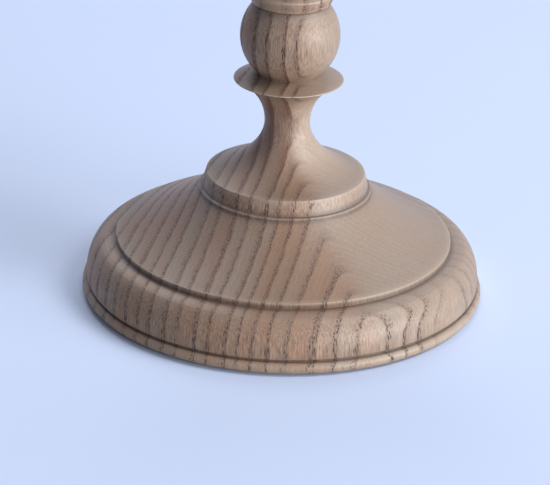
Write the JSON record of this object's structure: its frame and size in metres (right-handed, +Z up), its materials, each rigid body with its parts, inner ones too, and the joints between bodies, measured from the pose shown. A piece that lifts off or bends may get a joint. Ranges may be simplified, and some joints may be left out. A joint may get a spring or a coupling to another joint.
{
  "type": "pricket candle stand",
  "caption": "Turned ash pricket candle stand: moulded round foot, slim neck, ball knop, vase stem and dished pan with a lift-out brass liner and a steel spike for a pillar candle.",
  "frame": {"origin": "centre of the cork pad's underside, where the stand rests on a table", "axes": "+Z up along the turning axis to the spike's tip, -Y towards the pictured side, +X to the picture's right"},
  "size_m": [0.1, 0.1, 0.1918],
  "materials": {
    "ash": "oiled, low sheen, open vertical grain",
    "liner_brass": "spun, softly polished",
    "fitting_brass": "machined",
    "spike_steel": "turned, fine circular brushing",
    "cork": "pressed cork granules"
  },
  "bodies": {
    "stand": {"turned_foot": "ash", "upper_stem": "ash", "wax_pan": "ash", "pricket": "spike_steel", "pricket_washer": "fitting_brass", "pricket_insert": "fitting_brass", "base_pad": "cork"},
    "liner": {"drip_liner": "liner_brass"}
  },
  "joints": [
    {"name": "liner_lift", "type": "slide", "parent": "stand", "child": "liner", "axis": [0, 0, 1], "range_m": [0, 0.046]}
  ]
}
